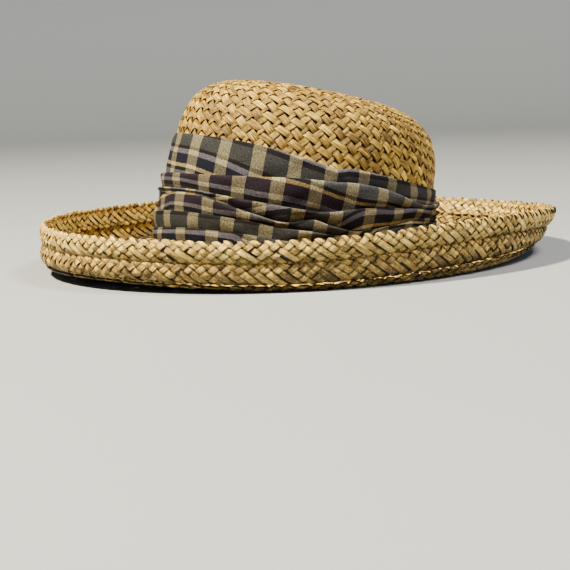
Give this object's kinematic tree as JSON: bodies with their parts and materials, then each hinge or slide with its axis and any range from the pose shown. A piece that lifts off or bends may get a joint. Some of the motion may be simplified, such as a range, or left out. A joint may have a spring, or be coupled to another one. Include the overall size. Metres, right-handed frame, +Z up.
{
  "type": "straw hat with upturned brim",
  "caption": "Hollow woven straw hat with a rounded crown leaning back, a wide upturned brim of sewn braid and a pleated plaid cloth band.",
  "frame": {"origin": "middle of the brim's outline, on the surface that the hat rests on", "axes": "+Z up through the crown, the hat's front faces -Y, the wearer's left is +X"},
  "size_m": [0.317, 0.3678, 0.1214],
  "materials": {
    "straw": "woven natural straw, dull sheen",
    "band_cloth": "yarn-dyed plaid cotton, matte"
  },
  "bodies": {
    "root": {"crown": "straw", "band": "band_cloth", "brim_row_1": "straw", "brim_row_2": "straw", "brim_row_3": "straw", "brim_row_4": "straw", "brim_row_5": "straw", "brim_row_6": "straw", "brim_row_7": "straw"}
  },
  "joints": []
}
